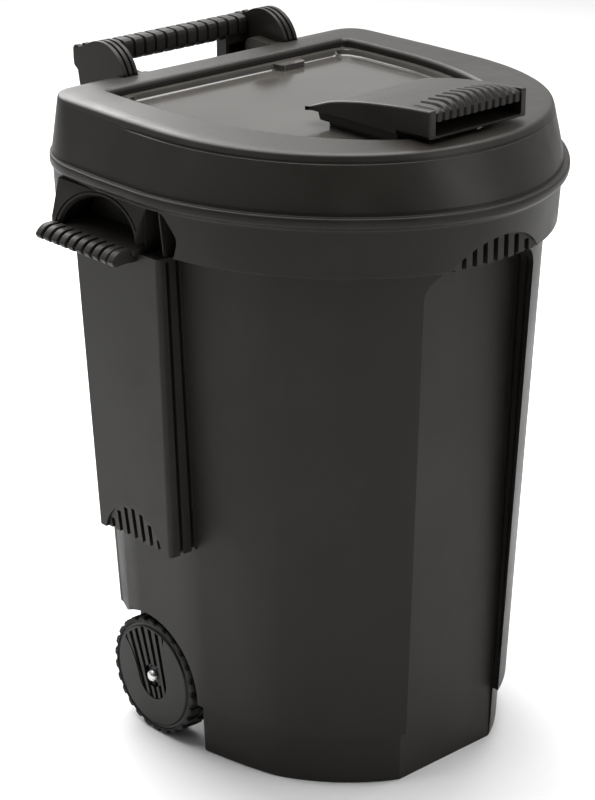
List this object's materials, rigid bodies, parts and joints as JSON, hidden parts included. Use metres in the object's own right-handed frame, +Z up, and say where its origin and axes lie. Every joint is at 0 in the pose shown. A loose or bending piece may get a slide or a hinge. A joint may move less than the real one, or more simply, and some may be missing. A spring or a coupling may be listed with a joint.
{
  "type": "wheeled refuse bin",
  "caption": "Tapered charcoal wheeled refuse bin with a bowed front, hinged domed lid with an inset hatch flap and raised grip, ribbed side grips and rear pull bar, and wheels on an axle.",
  "frame": {"origin": "on the ground, under the middle of the bin's bounding box", "axes": "+Z up, -Y towards the bowed front of the bin, +Y towards the wheels and pull bar, X across the bin"},
  "size_m": [0.621, 0.6, 0.8379],
  "materials": {
    "shell": "moulded satin, charcoal",
    "lid": "moulded satin, charcoal",
    "flap": "smooth polished moulding, charcoal",
    "grip": "ribbed, matt charcoal",
    "wheel": "moulded, near black",
    "tyre": "blocky tread",
    "nylon": "black nylon",
    "steel": "zinc plated"
  },
  "bodies": {
    "bin_body": {"body_shell": "shell", "rear_handle": "shell", "rear_grip_sleeve": "grip", "side_grip_left": "grip", "side_grip_right": "grip", "lid_hinge_pin_left": "steel", "lid_hinge_pin_right": "steel", "axle": "steel", "inner_washer_left": "steel", "inner_washer_right": "steel", "axle_cap_left": "steel", "axle_cap_right": "steel"},
    "lid_body": {"lid": "lid", "flap_hinge_pin_left": "steel", "flap_hinge_pin_right": "steel"},
    "flap_body": {"hatch_flap": "flap", "flap_grip": "lid", "flap_grip_pad": "grip"},
    "left_wheel": {"wheel_left": "wheel", "tyre_left": "tyre", "wheel_bush_left": "nylon"},
    "right_wheel": {"wheel_right": "wheel", "tyre_right": "tyre", "wheel_bush_right": "nylon"}
  },
  "joints": [
    {"name": "lid_hinge", "type": "hinge", "parent": "bin_body", "child": "lid_body", "pos_m": [0, 0.247, 0.781], "axis": [-1, 0, 0], "range_deg": [0, 100]},
    {"name": "flap_hinge", "type": "hinge", "parent": "lid_body", "child": "flap_body", "pos_m": [0, 0.159, 0.7785], "axis": [-1, 0, 0], "range_deg": [0, 95]},
    {"name": "left_wheel_spin", "type": "hinge", "parent": "bin_body", "child": "left_wheel", "pos_m": [0, 0.075, 0.076], "axis": [1, 0, 0], "continuous": true},
    {"name": "right_wheel_spin", "type": "hinge", "parent": "bin_body", "child": "right_wheel", "pos_m": [0, 0.075, 0.076], "axis": [1, 0, 0], "continuous": true}
  ]
}
